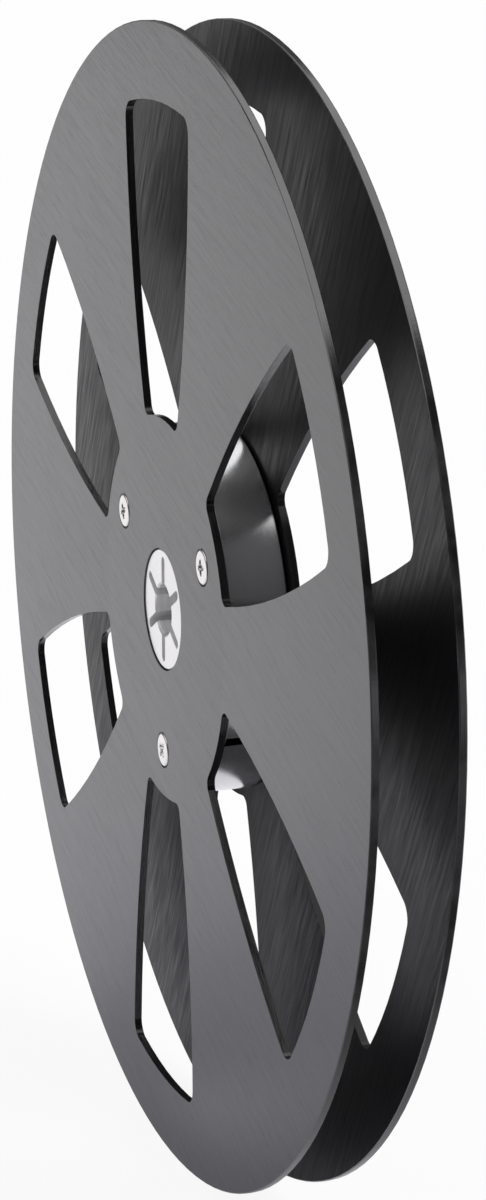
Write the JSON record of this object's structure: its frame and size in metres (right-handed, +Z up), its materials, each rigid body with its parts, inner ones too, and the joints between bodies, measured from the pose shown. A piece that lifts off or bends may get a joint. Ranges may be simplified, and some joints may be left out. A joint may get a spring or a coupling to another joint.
{
  "type": "audio tape reel",
  "caption": "Empty tape reel: thin windowed metal flanges screwed to a bright metal drum, with a slotted spindle bush.",
  "frame": {"origin": "centre of the spindle bore, half way through the reel", "axes": "Y along the spindle with the front face towards -Y, +Z up through the middle of one window, X across"},
  "size_m": [0.178, 0.0132, 0.178],
  "materials": {
    "flange_metal": "black anodised over a fine straight grain, satin",
    "drum_metal": "bright, finely turned and polished",
    "bush_metal": "bright, finely turned",
    "screw_metal": "bright plated"
  },
  "bodies": {
    "root": {"front_flange": "flange_metal", "rear_flange": "flange_metal", "hub_drum": "drum_metal", "spindle_bush": "bush_metal", "front_screw_1": "screw_metal", "front_screw_2": "screw_metal", "front_screw_3": "screw_metal", "rear_screw_1": "screw_metal", "rear_screw_2": "screw_metal", "rear_screw_3": "screw_metal"}
  },
  "joints": []
}
